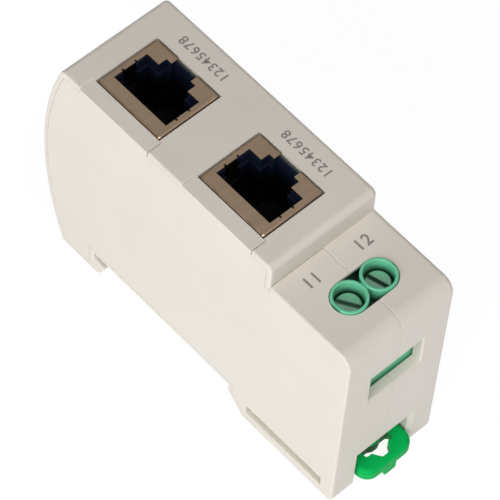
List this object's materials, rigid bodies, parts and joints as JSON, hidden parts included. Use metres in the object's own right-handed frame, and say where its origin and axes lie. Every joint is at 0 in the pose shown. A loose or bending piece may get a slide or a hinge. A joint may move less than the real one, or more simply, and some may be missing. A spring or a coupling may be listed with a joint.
{
  "type": "ethernet surge protector",
  "caption": "Slim rail-mounted surge protector with shielded network sockets on top, earth screw terminals on a lower shoulder, a rail hook and a sprung rail latch.",
  "frame": {"origin": "on the rail seat, over the rail's centre line, at half the width", "axes": "+X along the body towards the terminals and the latch, +Y across the width towards the deep half, +Z away from the rail towards the sockets"},
  "size_m": [0.0794, 0.0244, 0.0523],
  "materials": {
    "housing": "fine spark texture, warm grey",
    "latch": "smooth moulded green",
    "spring_steel": "drawn wire",
    "shield": "nickel-plated sheet, satin",
    "socket": "black moulded",
    "contact": "gold-plated wire",
    "terminal": "moulded green",
    "screw": "zinc-plated",
    "bar": "tinned",
    "board": "solder mask on glass laminate",
    "tube": "sealed ceramic with plated caps",
    "chip": "moulded black"
  },
  "bodies": {
    "housing": {"housing_main": "housing", "housing_cover": "housing", "latch_spring": "spring_steel", "jack_1_shield": "shield", "jack_2_shield": "shield", "jack_1_insulator": "socket", "jack_2_insulator": "socket", "jack_1_contacts": "contact", "jack_2_contacts": "contact", "terminal_body": "terminal", "terminal_bars": "bar", "main_board": "board", "terminal_board": "board", "board_pins": "bar", "gas_tube_1": "tube", "gas_tube_2": "tube", "gas_tube_3": "tube", "gas_tube_4": "tube", "clamp_diodes": "chip", "resistors": "chip"},
    "latch": {"rail_latch": "latch"},
    "screw_1": {"terminal_screw_1": "screw"},
    "screw_2": {"terminal_screw_2": "screw"},
    "clamp_1": {"terminal_clamp_1": "screw"},
    "clamp_2": {"terminal_clamp_2": "screw"}
  },
  "joints": [
    {"name": "latch_slide", "type": "slide", "parent": "housing", "child": "latch", "axis": [1, 0, 0], "range_m": [0, 0.003], "stiffness_N_per_m": 1500, "springref_m": -0.002, "deforming": ["latch_spring"]},
    {"name": "screw_1_turn", "type": "hinge", "parent": "housing", "child": "screw_1", "pos_m": [0.0356, -0.0034, 0.0387], "axis": [0, 0, -1], "range_deg": [0, 2520]},
    {"name": "screw_2_turn", "type": "hinge", "parent": "housing", "child": "screw_2", "pos_m": [0.0356, 0.0034, 0.0387], "axis": [0, 0, -1], "range_deg": [0, 2520]},
    {"name": "clamp_1_lift", "type": "slide", "parent": "housing", "child": "clamp_1", "axis": [0, 0, 1], "range_m": [0, 0.0035]},
    {"name": "clamp_2_lift", "type": "slide", "parent": "housing", "child": "clamp_2", "axis": [0, 0, 1], "range_m": [0, 0.0035]}
  ],
  "couplings": [
    {"joint": "screw_1_turn", "follows": "clamp_1_lift", "rad_per_m": 12566},
    {"joint": "screw_2_turn", "follows": "clamp_2_lift", "rad_per_m": 12566}
  ]
}
